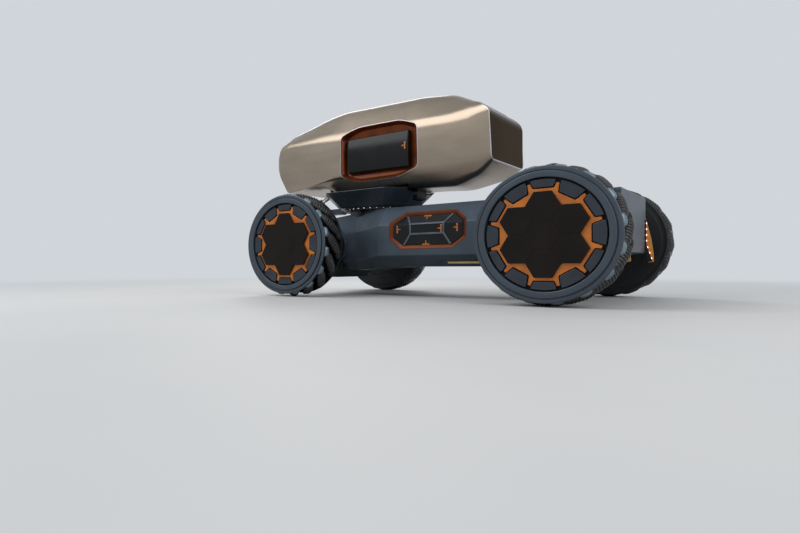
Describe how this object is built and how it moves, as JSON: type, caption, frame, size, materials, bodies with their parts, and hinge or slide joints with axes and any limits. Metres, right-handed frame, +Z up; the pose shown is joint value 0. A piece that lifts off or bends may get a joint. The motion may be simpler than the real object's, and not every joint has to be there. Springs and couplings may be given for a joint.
{
  "type": "planetary rover prototype",
  "caption": "Unmanned four-wheeled rover on roller-rimmed wheels, with a low faceted hull and a long polished equipment pod on a slewing, tilting pedestal.",
  "frame": {"origin": "on the ground, below the middle of the overall length and width", "axes": "+X forward along the longest extent, +Y to the left side, +Z up, the shortest extent"},
  "size_m": [2.628, 1.628, 1.463],
  "materials": {
    "hull_paint": "satin slate blue-grey paint",
    "rim_paint": "satin slate blue-grey paint",
    "pedestal_paint": "satin near-black paint",
    "orange_paint": "satin burnt-orange paint",
    "cover_gloss": "gloss black",
    "segment_gloss": "gloss dark blue-grey",
    "panel_gloss": "gloss near-black",
    "rib_metal": "satin anodised",
    "gold_trim": "polished",
    "dark_casting": "matt black paint on a casting",
    "lamp_lens": "white lamp lens",
    "bearing_steel": "turned",
    "pad_rubber": "moulded",
    "pod_metal": "polished",
    "frame_metal": "polished",
    "front_glass": "dark opaque glazing",
    "rod_chrome": "ground and plated",
    "roller_rubber": "moulded rubber"
  },
  "bodies": {
    "chassis": {"hull": "hull_paint", "side_recess_liners": "orange_paint", "side_recess_panels": "panel_gloss", "side_recess_ribs": "rib_metal", "sill_strips": "gold_trim", "hub_carriers": "dark_casting", "drive_housings": "dark_casting", "light_bars": "dark_casting", "light_fins": "orange_paint", "light_dots": "lamp_lens", "slewing_ring": "bearing_steel"},
    "wheel_front_left": {"wheel_rim_front_left": "rim_paint", "wheel_inner_plate_front_left": "rim_paint", "wheel_rollers_front_left": "roller_rubber", "wheel_segments_front_left": "segment_gloss", "wheel_star_front_left": "orange_paint", "wheel_cover_front_left": "cover_gloss"},
    "wheel_front_right": {"wheel_rim_front_right": "rim_paint", "wheel_inner_plate_front_right": "rim_paint", "wheel_rollers_front_right": "roller_rubber", "wheel_segments_front_right": "segment_gloss", "wheel_star_front_right": "orange_paint", "wheel_cover_front_right": "cover_gloss"},
    "wheel_rear_left": {"wheel_rim_rear_left": "rim_paint", "wheel_inner_plate_rear_left": "rim_paint", "wheel_rollers_rear_left": "roller_rubber", "wheel_segments_rear_left": "segment_gloss", "wheel_star_rear_left": "orange_paint", "wheel_cover_rear_left": "cover_gloss"},
    "wheel_rear_right": {"wheel_rim_rear_right": "rim_paint", "wheel_inner_plate_rear_right": "rim_paint", "wheel_rollers_rear_right": "roller_rubber", "wheel_segments_rear_right": "segment_gloss", "wheel_star_rear_right": "orange_paint", "wheel_cover_rear_right": "cover_gloss"},
    "turret": {"pedestal": "pedestal_paint", "rest_pads": "pad_rubber"},
    "pod": {"pod_shell": "pod_metal", "pod_recess_liners": "orange_paint", "pod_recess_panels": "panel_gloss", "pod_front_frame": "frame_metal", "pod_front_glass": "front_glass", "pod_brackets": "dark_casting"},
    "tilt_barrel": {"actuator_barrel": "rod_chrome"},
    "tilt_rod": {"actuator_rod": "rod_chrome"}
  },
  "joints": [
    {"name": "wheel_front_left_spin", "type": "hinge", "parent": "chassis", "child": "wheel_front_left", "pos_m": [0.929, 0.699, 0.385], "axis": [0, 1, 0], "continuous": true},
    {"name": "wheel_front_right_spin", "type": "hinge", "parent": "chassis", "child": "wheel_front_right", "pos_m": [0.929, -0.699, 0.385], "axis": [0, 1, 0], "continuous": true},
    {"name": "wheel_rear_left_spin", "type": "hinge", "parent": "chassis", "child": "wheel_rear_left", "pos_m": [-0.835, 0.699, 0.385], "axis": [0, 1, 0], "continuous": true},
    {"name": "wheel_rear_right_spin", "type": "hinge", "parent": "chassis", "child": "wheel_rear_right", "pos_m": [-0.835, -0.699, 0.385], "axis": [0, 1, 0], "continuous": true},
    {"name": "turret_yaw", "type": "hinge", "parent": "chassis", "child": "turret", "pos_m": [-0.512, 0, 0.675], "axis": [0, 0, 1], "range_deg": [-45, 45]},
    {"name": "pod_tilt", "type": "hinge", "parent": "turret", "child": "pod", "pos_m": [-0.172, 0, 0.747], "axis": [0, 1, 0], "range_deg": [0, 5]},
    {"name": "barrel_pivot", "type": "hinge", "parent": "turret", "child": "tilt_barrel", "pos_m": [-1.172, 0, 0.722], "axis": [0, 1, 0], "range_deg": [-11.04, 0.5]},
    {"name": "rod_slide", "type": "slide", "parent": "tilt_barrel", "child": "tilt_rod", "axis": [0.899, 0, 0.4379], "range_m": [-0.001, 0.04478]}
  ],
  "couplings": [
    {"joint": "barrel_pivot", "follows": "pod_tilt", "ratio": -2.109},
    {"joint": "rod_slide", "follows": "pod_tilt", "m_per_rad": 0.50173}
  ]
}
